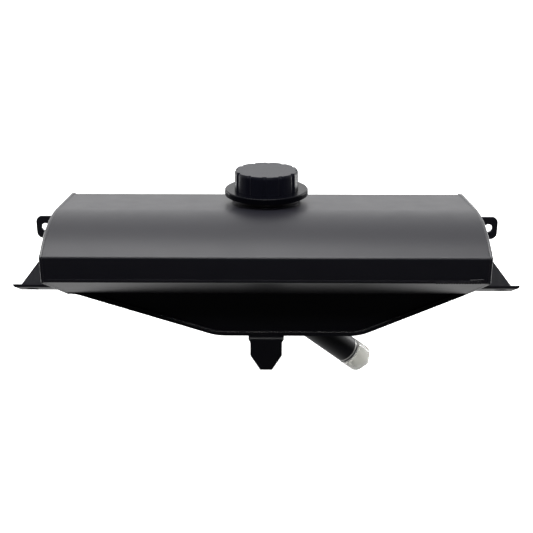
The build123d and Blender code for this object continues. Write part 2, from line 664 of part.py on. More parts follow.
def bracket_welds():
    """Short fillet beads: two on each foot, two on each ear, two beside the tab."""
    corner = Polygon((0, 0), (WELD_LEG, 0), (0, WELD_LEG))
    on_web = Plane(origin=(HALF_LENGTH, PLATE, PLATE), x_dir=(1, 0, 0), z_dir=(0, 0, 1))
    web_bead = extrude(on_web * corner, amount=WEB_H - 3 * PLATE)
    on_flange = Plane(origin=(HALF_LENGTH, PLATE + WELD_LEG, PLATE), x_dir=(1, 0, 0), z_dir=(0, 1, 0))
    flange_bead = extrude(on_flange * corner, amount=FOOT_DEPTH - 3 * PLATE)
    flange_bead = mirror(flange_bead, about=Plane.XY.offset(PLATE))
    on_ear = Plane(origin=(HALF_LENGTH, -EAR_LEG, EAR_H / 2), x_dir=(1, 0, 0), z_dir=(0, 1, 0))
    ear_bead = extrude(on_ear * corner, amount=EAR_LEG - 2 * PLATE)
    ear_bead = mirror(ear_bead, about=Plane.XY.offset(EAR_H / 2))
    on_tab = Plane(origin=(TAB_ROOT_HALF, TAB_FRONT_Y + 2 * TAB_BEND_R, SUMP_BOTTOM_Z),
                   x_dir=(1, 0, 0), z_dir=(0, 1, 0))
    tab_bead = extrude(on_tab * corner, amount=TAB_LEG - 3 * TAB_BEND_R)
    right_beads = [FOOT_PLANE * web_bead, FOOT_PLANE * flange_bead, ear_bead,
                   mirror(ear_bead, about=Plane.XY), tab_bead]
    beads = [mirrored(bead, side) for side in (1, -1) for bead in right_beads]
    return Compound(children=[solid for bead in beads for solid in bead.solids()])


def rear_seam_weld():
    """Low bead across the rear panel's top edge."""
    bead = Pos(0, REAR_SEAM_Z) * Circle(WELD_PROUD)
    kept = bead & box_2d(0, BEAD_R, REAR_SEAM_Z - BEAD_R, REAR_SEAM_Z + BEAD_R)
    reach = HALF_LENGTH - WELD_W
    return side_slab(kept, -reach, reach)


# ---------------------------------------------------------------- write every piece
export(top_front_shell(), "top_front_shell")
export(underside_plate(), "underside_plate")
export(sump_front_plate(), "sump_front_plate")
export(rear_panel(), "rear_panel")
export(sump_pan(), "sump_pan")
for name, side in (("left", -1), ("right", 1)):
    export(end_plate(side), f"{name}_end_plate")
    export(ear(side), f"{name}_ear")
    export(foot_bracket(side), f"{name}_foot_bracket")
    export(end_weld(side), f"{name}_end_weld")
for name, x in zip(("left", "right"), BAFFLE_X):
    export(baffle(x), f"{name}_baffle")
export(locating_tab(), "locating_tab")
export(filler_neck(), "filler_neck")
export(strainer_frame(), "strainer_frame")
export(strainer_mesh(), "strainer_mesh")
export(cap_base(), "cap_base")
export(cap_knob(), "cap_knob")
export(cap_gasket(), "cap_gasket")
export(valve_cage(), "valve_cage")
export(relief_valve_disc(), "relief_valve_disc")
export(relief_spring(), "relief_spring")
export(breather_foam(), "breather_foam")
export(outlet_tube(), "outlet_tube")
export(outlet_spigot(), "outlet_spigot")
export(spigot_clip(), "spigot_clip")
export(outlet_cover(), "outlet_cover")
export(suction_strainer(), "suction_strainer")
export(return_bung(), "return_bung")
export(return_diffuser(), "return_diffuser")
export(front_seam_weld(), "front_seam_weld")
export(rear_seam_weld(), "rear_seam_weld")
export(sump_weld(), "sump_weld")
export(neck_weld(), "neck_weld")
export(outlet_weld(), "outlet_weld")
export(return_weld(), "return_weld")
export(bracket_welds(), "bracket_welds")
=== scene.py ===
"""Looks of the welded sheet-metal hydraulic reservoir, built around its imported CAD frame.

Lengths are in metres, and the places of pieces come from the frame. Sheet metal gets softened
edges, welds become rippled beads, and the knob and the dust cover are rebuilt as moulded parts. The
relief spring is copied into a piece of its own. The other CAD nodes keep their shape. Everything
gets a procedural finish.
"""
import json
import math

import bmesh
import bpy
import numpy as np
from mathutils import Matrix, Vector, noise
from mathutils.bvhtree import BVHTree


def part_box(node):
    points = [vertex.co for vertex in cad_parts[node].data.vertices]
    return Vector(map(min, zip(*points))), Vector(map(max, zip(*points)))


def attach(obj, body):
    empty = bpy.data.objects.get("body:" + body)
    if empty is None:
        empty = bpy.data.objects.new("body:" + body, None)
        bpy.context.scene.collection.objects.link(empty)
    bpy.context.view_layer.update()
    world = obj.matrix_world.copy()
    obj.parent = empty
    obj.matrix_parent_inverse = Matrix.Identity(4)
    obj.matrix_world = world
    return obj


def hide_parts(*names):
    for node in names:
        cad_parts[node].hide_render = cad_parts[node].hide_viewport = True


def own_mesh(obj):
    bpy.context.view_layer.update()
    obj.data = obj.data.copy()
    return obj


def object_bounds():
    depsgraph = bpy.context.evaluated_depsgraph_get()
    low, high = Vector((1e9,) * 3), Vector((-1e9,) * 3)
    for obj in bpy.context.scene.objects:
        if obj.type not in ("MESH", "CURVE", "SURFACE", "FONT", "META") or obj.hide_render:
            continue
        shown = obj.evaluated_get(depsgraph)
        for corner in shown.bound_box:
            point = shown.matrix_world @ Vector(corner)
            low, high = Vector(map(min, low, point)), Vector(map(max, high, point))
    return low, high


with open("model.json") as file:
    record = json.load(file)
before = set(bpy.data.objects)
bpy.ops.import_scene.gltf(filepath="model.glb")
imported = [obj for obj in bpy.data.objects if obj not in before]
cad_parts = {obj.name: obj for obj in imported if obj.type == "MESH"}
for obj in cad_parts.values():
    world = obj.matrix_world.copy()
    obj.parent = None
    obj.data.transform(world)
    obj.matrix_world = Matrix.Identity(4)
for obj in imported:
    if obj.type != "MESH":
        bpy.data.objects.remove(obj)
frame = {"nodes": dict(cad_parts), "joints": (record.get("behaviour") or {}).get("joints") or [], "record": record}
cad_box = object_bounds()
NODES = frame["nodes"]
RECORD = frame["record"]
MM = 0.001
TAU = 2 * math.pi

BODY_OF = {node: body for body, nodes in RECORD["behaviour"]["bodies"].items() for node in nodes}
SLOT_OF = {part["node"]: part["material_slot"] for part in RECORD["subparts"]}


# ---------------------------------------------------------------- material building
def smooth_range(tree, value, start, end, low, high):
    """A node that maps a value, from start to end, smoothly to low to high."""
    node = tree.nodes.new("ShaderNodeMapRange")
    node.interpolation_type = "SMOOTHSTEP"
    for socket, number in (("From Min", start), ("From Max", end), ("To Min", low), ("To Max", high)):
        node.inputs[socket].default_value = number
    tree.links.new(value, node.inputs["Value"])
    return node.outputs["Result"]


class Finish:
    """A Principled material and short calls that add procedural detail to it."""

    def __init__(self, name, roughness, metallic=0.0, specular=0.5):
        self.material = bpy.data.materials.new(name)
        self.material.use_nodes = True
        self.tree = self.material.node_tree
        self.shader = self.tree.nodes["Principled BSDF"]
        self.shader.inputs["Metallic"].default_value = metallic
        self.shader.inputs["Roughness"].default_value = roughness
        self.shader.inputs["Specular IOR Level"].default_value = specular
        self.place = self.tree.nodes.new("ShaderNodeTexCoord").outputs["Object"]

    def set(self, socket, value):
        self.shader.inputs[socket].default_value = value

    def feed(self, socket, output):
        self.tree.links.new(output, self.shader.inputs[socket])

    def stretched(self, scale, turn=(0, 0, 0), origin=(0, 0, 0)):
        """Object coordinates moved to an origin, turned and scaled by axis."""
        node = self.tree.nodes.new("ShaderNodeMapping")
        node.vector_type = "TEXTURE"
        node.inputs["Location"].default_value = origin
        node.inputs["Rotation"].default_value = turn
        node.inputs["Scale"].default_value = [1 / s for s in scale]
        self.tree.links.new(self.place, node.inputs["Vector"])
        return node.outputs["Vector"]

    def noise(self, scale, detail=2.0, roughness=0.5, place=None):
        node = self.tree.nodes.new("ShaderNodeTexNoise")
        node.inputs["Scale"].default_value = scale
        node.inputs["Detail"].default_value = detail
        node.inputs["Roughness"].default_value = roughness
        self.tree.links.new(place or self.place, node.inputs["Vector"])
        return node.outputs["Fac"]

    def cells(self, scale):
        """Distance from the nearest of scattered points."""
        node = self.tree.nodes.new("ShaderNodeTexVoronoi")
        node.inputs["Scale"].default_value = scale
        self.tree.links.new(self.place, node.inputs["Vector"])
        return node.outputs["Distance"]

    def bands(self, scale, direction="Z", distortion=0.0, place=None):
        node = self.tree.nodes.new("ShaderNodeTexWave")
        node.bands_direction = direction
        node.inputs["Scale"].default_value = scale
        node.inputs["Distortion"].default_value = distortion
        node.inputs["Detail Scale"].default_value = 2.0
        self.tree.links.new(place or self.place, node.inputs["Vector"])
        return node.outputs["Fac"]

    def axis(self, name):
        node = self.tree.nodes.new("ShaderNodeSeparateXYZ")
        self.tree.links.new(self.place, node.inputs["Vector"])
        return node.outputs[name]

    def math(self, operation, a, b=None):
        node = self.tree.nodes.new("ShaderNodeMath")
        node.operation = operation
        for socket, value in zip(node.inputs, (a, b)):
            if isinstance(value, bpy.types.NodeSocket):
                self.tree.links.new(value, socket)
            elif value is not None:
                socket.default_value = value
        return node.outputs["Value"]

    def spread(self, value, low, high, start=0.0, end=1.0):
        """The value, from start to end, mapped smoothly to low to high."""
        return smooth_range(self.tree, value, start, end, low, high)

    def colours(self, factor, first, second):
        node = self.tree.nodes.new("ShaderNodeMix")
        node.data_type = "RGBA"
        colour_a, colour_b = node.inputs[6], node.inputs[7]
        for socket, colour in ((colour_a, first), (colour_b, second)):
            if isinstance(colour, bpy.types.NodeSocket):
                self.tree.links.new(colour, socket)
            else:
                socket.default_value = (*colour, 1)
        self.tree.links.new(factor, node.inputs[0])
        return node.outputs[2]

    def bump(self, height, strength, distance):
        """Adds a bump on top of those already there."""
        node = self.tree.nodes.new("ShaderNodeBump")
        node.inputs["Strength"].default_value = strength
        node.inputs["Distance"].default_value = distance
        self.tree.links.new(height, node.inputs["Height"])
        normal = self.shader.inputs["Normal"]
        if normal.links:
            self.tree.links.new(normal.links[0].from_socket, node.inputs["Normal"])
        self.tree.links.new(node.outputs["Normal"], normal)


def powder_coat(name, specular, sheen_low):
    """Satin black powder coat: orange peel, fine grain, soft sheen patches and a few dust nibs."""
    coat = Finish(name, roughness=0.42, specular=specular)
    patches = coat.noise(14, detail=3)
    grain = coat.noise(5200, detail=1)
    nibs = coat.spread(coat.cells(620), 1, 0, 0.02, 0.07)
    rare = coat.math("GREATER_THAN", coat.noise(310, detail=0), 0.66)
    dust = coat.math("MULTIPLY", nibs, rare)
    body = coat.colours(patches, (0.0052, 0.0050, 0.0084), (0.0070, 0.0068, 0.0108))
    body = coat.colours(coat.spread(grain, 0, 0.5, 0.45, 0.8), body, (0.008, 0.008, 0.010))
    coat.feed("Base Color", coat.colours(dust, body, (0.06, 0.06, 0.06)))
    sheen = coat.math("MULTIPLY_ADD", coat.noise(60, detail=2), 0.07)
    sheen.node.inputs[2].default_value = sheen_low
    coat.feed("Roughness", coat.math("ADD", sheen, coat.math("MULTIPLY", dust, 0.2)))
    near_end = coat.spread(coat.math("ABSOLUTE", coat.axis("X")), 0, 1, 0.184, 0.199)
    dressing = coat.noise(1, detail=3, place=coat.stretched((260, 60, 90), turn=(0.5, 0, 0)))
    coat.bump(coat.math("MULTIPLY", near_end, dressing), 0.5, 0.0005)
    coat.bump(coat.noise(30, detail=1), 0.12, 0.0012)
    coat.bump(coat.noise(900, detail=2), 0.28, 0.00008)
    coat.bump(coat.math("ADD", coat.math("MULTIPLY", grain, 0.5), dust), 0.22, 0.00006)
    return coat.material


def moulded_black(name, specular, smoothest, roughest, tone):
    """Glass-filled black moulding: spark-eroded grain with slight flow clouds."""
    plastic = Finish(name, roughness=roughest, specular=specular)
    dark, light = [[tone * c for c in colour] for colour in ((0.70, 0.73, 1.33), (1.0, 1.07, 1.83))]
    clouds = plastic.noise(35, detail=4, roughness=0.6)
    plastic.feed("Base Color", plastic.colours(clouds, dark, light))
    plastic.feed("Roughness", plastic.spread(plastic.noise(700, detail=3), smoothest, roughest))
    plastic.bump(plastic.cells(1900), 0.30, 0.00007)
    plastic.bump(plastic.noise(180, detail=3), 0.12, 0.00020)
    return plastic.material


def turned_steel(name, base, roughness, rings, turn=(0, 0, 0), origin=(0, 0, 0)):
    """Machined, plated metal with fine tool rings across the given axis."""
    steel = Finish(name, roughness=roughness, metallic=0.35)
    place = steel.stretched((1, 1, 1), turn, origin)
    cuts = steel.noise(1, detail=4, place=steel.stretched((40, 40, rings), turn, origin))
    tint = [c * 0.82 for c in base]
    steel.feed("Base Color", steel.colours(cuts, tint, base))
    steel.feed("Roughness", steel.spread(cuts, roughness - 0.06, roughness + 0.10))
    steel.bump(steel.bands(rings / TAU * 2, "Z", 0.5, place), 0.25, 0.00003)
    steel.bump(cuts, 0.3, 0.00003)
    return steel.material


def spring_wire():
    wire = Finish("spring_wire", roughness=0.34, metallic=1.0)
    drawn = wire.noise(400, detail=4)
    wire.feed("Base Color", wire.colours(drawn, (0.10, 0.10, 0.11), (0.20, 0.20, 0.21)))
    wire.feed("Roughness", wire.spread(drawn, 0.26, 0.46))
    wire.bump(drawn, 0.2, 0.00003)
    return wire.material


def woven_stainless():
    """Fine plain weave, seen as crossing bands."""
    mesh = Finish("woven_stainless", roughness=0.38, metallic=1.0)
    warp = mesh.bands(900, "X")
    weft = mesh.bands(900, "Z")
    weave = mesh.math("MULTIPLY", warp, weft)
    mesh.feed("Base Color", mesh.colours(weave, (0.16, 0.16, 0.16), (0.62, 0.61, 0.60)))
    mesh.feed("Roughness", mesh.spread(mesh.noise(200), 0.32, 0.46))
    mesh.bump(weave, 0.6, 0.00020)
    return mesh.material


def natural_nylon():
    nylon = Finish("natural_nylon", roughness=0.48)
    clouds = nylon.noise(90, detail=3)
    nylon.feed("Base Color", nylon.colours(clouds, (0.62, 0.58, 0.46), (0.76, 0.73, 0.62)))
    nylon.feed("Roughness", nylon.spread(clouds, 0.42, 0.56))
    nylon.set("Subsurface Weight", 0.15)
    nylon.set("Subsurface Radius", (0.004, 0.003, 0.002))
    nylon.bump(nylon.noise(1400, detail=2), 0.2, 0.00008)
    return nylon.material


def open_foam():
    foam = Finish("open_foam", roughness=0.95, specular=0.2)
    pores = foam.cells(1100)
    foam.feed("Base Color", foam.colours(pores, (0.012, 0.012, 0.012), (0.085, 0.085, 0.083)))
    foam.feed("Roughness", foam.spread(pores, 0.85, 1.0))
    foam.bump(pores, 1.0, 0.0006)
    return foam.material


def brass():
    metal = Finish("brass", roughness=0.28, metallic=1.0)
    rings = metal.noise(1, detail=4, place=metal.stretched((300, 300, 4000)))
    metal.feed("Base Color", metal.colours(rings, (0.52, 0.36, 0.13), (0.74, 0.55, 0.24)))
    metal.feed("Roughness", metal.spread(rings, 0.22, 0.40))
    metal.bump(rings, 0.2, 0.00004)
    return metal.material


def nitrile():
    rubber = Finish("nitrile", roughness=0.6, specular=0.4)
    bloom = rubber.noise(160, detail=4)
    rubber.feed("Base Color", rubber.colours(bloom, (0.010, 0.010, 0.010), (0.022, 0.022, 0.022)))
    rubber.feed("Roughness", rubber.spread(bloom, 0.52, 0.72))
    rubber.bump(rubber.noise(2200, detail=2), 0.3, 0.00006)
    return rubber.material


def milky_polyethylene():
    """Translucent dust-cover plastic: cloudy, scuffed, passing a blurred light."""
    milk = Finish("milky_polyethylene", roughness=0.34, specular=0.5)
    clouds = milk.noise(160, detail=3)
    scuffs = milk.noise(1, detail=4, place=milk.stretched((900, 180, 900), turn=(0.4, 0.6, 0.2)))
    milk.feed("Base Color", milk.colours(clouds, (0.78, 0.78, 0.75), (0.93, 0.93, 0.90)))
    milk.feed("Roughness", milk.spread(scuffs, 0.12, 0.26))
    milk.set("Transmission Weight", 0.72)
    milk.set("IOR", 1.42)
    milk.bump(milk.noise(320, detail=2), 0.35, 0.00020)
    milk.bump(scuffs, 0.2, 0.00005)
    return milk.material


# ---------------------------------------------------------------- reading shapes from the frame
def record_mount(name):
    """The record's mount of that name."""
    return next(m for m in RECORD["mounts"] if m["name"] == name)


def record_joint(name):
    """The frame's joint of that name."""
    return next(j for j in frame["joints"] if j["name"] == name)


SPLIT_GAP = 0.002 * MM
FLAT_GAP = 0.02 * MM


def stitched(node):
    """A bmesh copy of a CAD node's mesh, its split vertices merged."""
    mesh = bmesh.new()
    mesh.from_mesh(NODES[node].data)
    bmesh.ops.remove_doubles(mesh, verts=mesh.verts, dist=SPLIT_GAP)
    return mesh


def merged(node):
    """A stitched copy of a CAD node's mesh with its flat faces whole."""
    mesh = stitched(node)
    bmesh.ops.dissolve_limit(
        mesh, angle_limit=math.radians(0.4), verts=mesh.verts, edges=mesh.edges, delimit={"NORMAL"})
    return mesh


def face_outline(node, axis, at):
    """The longest border, as ordered points, of a CAD node's flat face at coordinate `at` of an axis."""
    mesh = stitched(node)
    flat = dict.fromkeys(f for f in mesh.faces if all(abs(v.co[axis] - at) < FLAT_GAP for v in f.verts))
    nearby = {}
    for face in flat:
        for edge in face.edges:
            if len([f for f in edge.link_faces if f in flat]) == 1:
                a, b = edge.verts
                nearby.setdefault(a, []).append(b)
                nearby.setdefault(b, []).append(a)
    loops = []
    unused = dict.fromkeys(nearby)
    while unused:
        here = unused.popitem()[0]
        loop = [here]
        while True:
            onward = [v for v in nearby[here] if v in unused]
            if not onward:
                break
            here = onward[0]
            del unused[here]
            loop.append(here)
        loops.append([v.co.copy() for v in loop])
    mesh.free()
    return max(loops, key=lambda loop: path_length(loop, True))


def path_length(points, closed):
    """Length of the path, back to its start when closed."""
    steps = zip(points, points[1:] + points[:1] if closed else points[1:])
    return sum((b - a).length for a, b in steps)


def evenly(points, step, closed):
    """The path's points again, a nearly equal step apart."""
    ring = points + points[:1] if closed else points
    coords = np.array([tuple(p) for p in ring])
    along = np.concatenate([[0], np.cumsum(np.linalg.norm(np.diff(coords, axis=0), axis=1))])
    count = max(3, round(along[-1] / step))
    where = np.linspace(0, along[-1], count, endpoint=not closed)
    return [Vector([np.interp(s, along, coords[:, k]) for k in range(3)]) for s in where]


# ---------------------------------------------------------------- making pieces
def shaded(name, mesh_data, smooth_angle):
    """An object of the mesh, smooth except across edges sharper than the angle in degrees."""
    piece = bpy.data.objects.new(name, mesh_data)
    bpy.context.scene.collection.objects.link(piece)
    mesh = bmesh.new()
    mesh.from_mesh(mesh_data)
    bmesh.ops.recalc_face_normals(mesh, faces=mesh.faces)
    for face in mesh.faces:
        face.smooth = True
    limit = math.radians(smooth_angle)
    for edge in mesh.edges:
        edge.smooth = edge.calc_face_angle(0) < limit
    mesh.to_mesh(mesh_data)
    mesh.free()
    return piece


def install(piece, material, *nodes):
    """Gives a piece its finish and lets it stand for its CAD nodes, on their body."""
    piece.data.materials.clear()
    piece.data.materials.append(material)
    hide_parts(*nodes)
    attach(piece, BODY_OF[nodes[0]])


def apply_modifiers(piece):
    """Leaves the mesh as its modifiers show it."""
    bpy.context.view_layer.update()
    result = bpy.data.meshes.new_from_object(piece.evaluated_get(bpy.context.evaluated_depsgraph_get()))
    piece.modifiers.clear()
    piece.data = result


SOFT_SEGMENTS = 3
SOFT_ANGLE = 32


def softened(node, width, material):
    """A CAD plate with its cut edges rounded as a coat of paint rounds them."""
    data = bpy.data.meshes.new(f"{node}_soft")
    mesh = merged(node)
    mesh.to_mesh(data)
    mesh.free()
    piece = shaded(f"{node}_soft", data, SOFT_ANGLE)
    bevel = piece.modifiers.new("bevel", "BEVEL")
    bevel.width = width
    bevel.segments = SOFT_SEGMENTS
    bevel.limit_method = "ANGLE"
    bevel.angle_limit = math.radians(SOFT_ANGLE)
    bevel.miter_outer = "MITER_ARC"
    bevel.use_clamp_overlap = True
    weighted = piece.modifiers.new("weighted", "WEIGHTED_NORMAL")
    weighted.weight = 100
    weighted.keep_sharp = False
    apply_modifiers(piece)
    install(piece, material, node)


def ring_mesh(name, rings, closed):
    """A tube through rings of equal point count, capped at both ends unless closed."""
    count = len(rings[0])
    verts = [tuple(p) for ring in rings for p in ring]
    faces = []
    spans = len(rings) if closed else len(rings) - 1
    for i in range(spans):
        j = (i + 1) % len(rings)
        for k in range(count):
            m = (k + 1) % count
            faces.append((i * count + k, i * count + m, j * count + m, j * count + k))
    if not closed:
        faces.append(tuple(range(count)))
        faces.append(tuple((len(rings) - 1) * count + k for k in range(count)))
    data = bpy.data.meshes.new(name)
    data.from_pydata(verts, [], faces)
    return data


RIPPLE_PITCH = 2.3 * MM
RIPPLE_SAMPLES = 6
BEAD_SIDES = 12
BEAD_SHADE = 60


def ripple(along, across, seed):
    """Height of a weld's overlapping ripples, about 0 to 1, curved back across the bead."""
    wander = noise.noise(Vector((along * 90, seed, 0.0))) * 0.35
    phase = along / RIPPLE_PITCH + wander - 0.45 * math.cos(across)
    return abs(math.sin(math.pi * phase))


def bead_rings(points, sideways, closed, half_width, height, seed, rough):
    """Rings of a weld bead: `sideways` gives, at each point, the two directions of its section.

    An open bead tapers at its ends, and rough is the share of its height that ripples.
    """
    length = path_length(points, closed)
    step = length / (len(points) if closed else len(points) - 1)
    rings = []
    for i, point in enumerate(points):
        along = i * step
        wide, high = sideways[i]
        lump = 1 + 0.16 * noise.noise(Vector((along * 45, seed * 3.1, 1.0)))
        lump += 0.10 * noise.noise(Vector((along * 170, seed * 1.7, 4.0)))
        fade = 1.0
        if not closed:
            reach = min(along, length - along) / (1.6 * half_width)
            fade = math.sqrt(max(0.02, 1 - (1 - min(1.0, reach)) ** 2))
        ring = []
        for k in range(BEAD_SIDES):
            across = TAU * k / BEAD_SIDES
            rise = fade * lump * (1 - rough + rough * ripple(along, across, seed))
            ring.append(point + wide * (half_width * math.cos(across) * rise)
                        + high * (height * math.sin(across) * rise))
        rings.append(ring)
    return rings


def smooth_directions(vectors, closed, reach=3):
    """Directions averaged with their neighbours, so that a section turns gently at a corner."""
    count = len(vectors)
    result = []
    for i in range(count):
        total = Vector()
        for k in range(-reach, reach + 1):
            j = (i + k) % count if closed else min(max(i + k, 0), count - 1)
            total += vectors[j]
        result.append(total.normalized())
    return result


def turn_angles(count):
    """Angles that share a full turn evenly."""
    return [TAU * i / count for i in range(count)]


def tangents(points, closed):
    """The path's direction at each point."""
    count = len(points)
    if closed:
        return [(points[(i + 1) % count] - points[i - 1]).normalized() for i in range(count)]
    return [(points[min(i + 1, count - 1)] - points[max(i - 1, 0)]).normalized() for i in range(count)]


def bead(name, points, across, closed, half_width, height, seed, rough=0.16):
    """A weld bead mesh along points; `across` is its width's direction, or a function of the point."""
    path = evenly(points, RIPPLE_PITCH / RIPPLE_SAMPLES, closed)
    along = tangents(path, closed)
    if callable(across):
        wides = [across(p) for p in path]
    else:
        wides = [Vector(across)] * len(path)
    highs = smooth_directions([t.cross(w).normalized() for t, w in zip(along, wides)], closed)
    sections = list(zip(wides, highs))
    return ring_mesh(name, bead_rings(path, sections, closed, half_width, height, seed, rough), closed)


def joined(name, meshes):
    """One mesh of several."""
    mesh = bmesh.new()
    for data in meshes:
        mesh.from_mesh(data)
    whole = bpy.data.meshes.new(name)
    mesh.to_mesh(whole)
    mesh.free()
    for data in meshes:
        bpy.data.meshes.remove(data)
    return whole


LATHE_STEPS = 96
LATHE_WOBBLE = 0.004


def lathe_mesh(name, profile, origin, axis):
    """A closed profile of (radius, distance) turned round an axis, slightly out of round."""
    side = axis.orthogonal().normalized()
    other = axis.cross(side)
    rings = []
    for a in turn_angles(LATHE_STEPS):
        out = side * math.cos(a) + other * math.sin(a)
        ring = []
        for radius, along in profile:
            swell = 1 + LATHE_WOBBLE * noise.noise(Vector((math.cos(a) * 2, math.sin(a) * 2, along * 120)))
            ring.append(origin + out * (radius * swell) + axis * along)
        rings.append(ring)
    return ring_mesh(name, rings, True)


def arc_points(centre, radius, start, end, count):
    """(radius, distance) points on an arc, angles in degrees from the outward direction."""
    angles = [math.radians(start + (end - start) * i / (count - 1)) for i in range(count)]
    return [(centre[0] + radius * math.cos(a), centre[1] + radius * math.sin(a)) for a in angles]


# ---------------------------------------------------------------- welds
def away_from(centre, axis):
    """A function that gives a point's direction from the centre, square to coordinate `axis`."""
    def direction(point):
        away = point - centre
        away[axis] = 0
        return away.normalized()

    return direction


def end_weld(side, material):
    """Bead round the whole edge of an end plate, with a nub where it starts at the top rear corner."""
    name = "right" if side > 0 else "left"
    low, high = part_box(f"{name}_end_plate")
    outer_x = high.x if side > 0 else low.x
    weld_low, weld_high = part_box(f"{name}_end_weld")
    width = weld_high.x - weld_low.x
    loop = face_outline(f"{name}_end_plate", 0, outer_x)
    centre = sum(loop, Vector()) / len(loop)
    inward = [(centre - p).normalized() * 0.7 * MM for p in loop]
    middle = [Vector((outer_x - side * 0.5 * width, p.y + i.y, p.z + i.z)) for p, i in zip(loop, inward)]
    data = bead("end_bead", middle, (1, 0, 0), True, 0.5 * width, 1.4 * MM, 3.0 + side, rough=0.14)
    rear_top = max(p.z for p in loop if p.y > high.y - 8 * MM)
    corner = Vector((outer_x - side * 0.8 * width, high.y - 2.2 * MM, rear_top))
    nub = [corner + Vector((side * 1.2 * MM * k, 0, -0.3 * MM)) for k in (-2, -1, 0, 1)]
    nub_data = bead("nub", nub, (0, 1, 0), False, 2.2 * MM, 1.25 * MM, 8.0)
    whole = joined(f"{name}_end_bead", [data, nub_data])
    install(shaded(f"{name}_end_bead", whole, BEAD_SHADE), material, f"{name}_end_weld")


def rear_seam_bead(material):
    """Bead along the top edge of the rear panel."""
    low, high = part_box("rear_seam_weld")
    z = (low.z + high.z) / 2
    ends = [Vector((low.x, low.y, z)), Vector((high.x, low.y, z))]
    data = bead("rear_seam_weld_bead", ends, (0, 1, 0), False, 0.9 * MM, 1.9 * MM, 2.0, rough=0.3)
    install(shaded("rear_seam_weld_bead", data, BEAD_SHADE), material, "rear_seam_weld")


def front_seam_bead(material):
    """Ground seam under the front face, with a heavier lump and a proud run at the outlet end."""
    low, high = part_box("front_seam_weld")
    z = (low.z + high.z) / 2

    def run(start, end, half_height, depth, seed, rough):
        ends = [Vector((x, high.y, z + rise)) for x, rise in (start, end)]
        return bead("run", ends, (0, 1, 0), False, depth, half_height, seed, rough)

    lumpy = run((low.x, 0), (high.x, 0), 1.4 * MM, 0.25 * MM, 1.0, 0.6)
    heavy = run((high.x - 46 * MM, -0.9 * MM), (high.x - 5 * MM, -0.7 * MM), 1.3 * MM, 0.5 * MM, 31.0, 0.6)
    proud = run((high.x - 16 * MM, 1.4 * MM), (high.x - 3 * MM, 2.2 * MM), 0.7 * MM, 0.8 * MM, 32.0, 0.3)
    whole = joined("front_seam_bead", [lumpy, heavy, proud])
    install(shaded("front_seam_bead", whole, BEAD_SHADE), material, "front_seam_weld")


def lower_chain(outline):
    """The ordered outline points from its leftmost to its rightmost along the lower side."""
    left = min(range(len(outline)), key=lambda i: outline[i].x)
    turned = outline[left:] + outline[:left]
    right = max(range(len(turned)), key=lambda i: turned[i].x)
    chains = (turned[:right + 1], [turned[0]] + turned[:right - 1:-1])
    return min(chains, key=lambda chain: sum(p.z for p in chain) / len(chain))


def sump_bead(material):
    """Fillet bead where the sump's front plate meets the pan, inside the pan's lip."""
    front_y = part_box("sump_front_plate")[0].y
    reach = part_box("sump_weld")[1].x
    lower_edge = lower_chain(face_outline("sump_front_plate", 1, front_y))
    fine = [p for p in evenly(lower_edge, MM, False) if abs(p.x) <= reach]
    lifted = [p + Vector((0, -0.5 * MM, 0.5 * MM)) for p in fine]
    data = bead("sump_bead", lifted, (0, 1, 0), False, 1.5 * MM, 1.5 * MM, 11.0, rough=0.2)
    install(shaded("sump_bead", data, BEAD_SHADE), material, "sump_weld")


def surface_at(tree, x, y):
    """Height of the tree's surface as met from above."""
    return tree.ray_cast(Vector((x, y, 1.0)), Vector((0, 0, -1)))[0].z


def neck_bead(material):
    """Bead round the filler neck on the falling top."""
    low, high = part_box("filler_neck")
    half_width, height = 0.9 * MM, 0.5 * MM
    radius = (high.x - low.x) / 2 + half_width
    centre = (low + high) / 2
    shell = NODES["top_front_shell"]
    tree = BVHTree.FromPolygons([v.co.copy() for v in shell.data.vertices],
                                [tuple(p.vertices) for p in shell.data.polygons])
    ring = []
    for a in turn_angles(240):
        x = centre.x + radius * math.cos(a)
        y = centre.y + radius * math.sin(a)
        ring.append(Vector((x, y, surface_at(tree, x, y) + height)))
    data = bead("neck_bead", ring, away_from(centre, 2), True, half_width, height, 5.0, rough=0.1)
    install(shaded("neck_bead", data, BEAD_SHADE), material, "neck_weld")


def outlet_frame():
    """The outlet's axis direction and the middle of the spigot's tip."""
    axis = Vector(record_joint("cover_slide")["axis"]).normalized()
    tip = Vector(record_mount("outlet_spigot")["pos_m"])
    return axis, tip


def along_axis(node, origin, axis):
    """A CAD node's least and greatest distance along an axis and greatest radius from it."""
    points = [v.co - origin for v in NODES[node].data.vertices]
    dots = [p.dot(axis) for p in points]
    radius = max((p - axis * d).length for p, d in zip(points, dots))
    return min(dots), max(dots), radius


def outlet_bead(material):
    """Bead where the slanted outlet tube leaves the pan."""
    axis, tip = outlet_frame()
    pan_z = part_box("outlet_tube")[1].z
    radius = along_axis("outlet_tube", tip, axis)[2] + 0.4 * MM
    side = axis.orthogonal().normalized()
    other = axis.cross(side)
    ring = []
    for a in turn_angles(180):
        start = tip + (side * math.cos(a) + other * math.sin(a)) * radius
        ring.append(start + axis * ((pan_z - start.z) / axis.z) - Vector((0, 0, 0.3 * MM)))
    centre = sum(ring, Vector()) / len(ring)
    data = bead("outlet_bead", ring, away_from(centre, 2), True, 2.1 * MM, 1.8 * MM, 6.0, rough=0.2)
    install(shaded("outlet_bead", data, BEAD_SHADE), material, "outlet_weld")


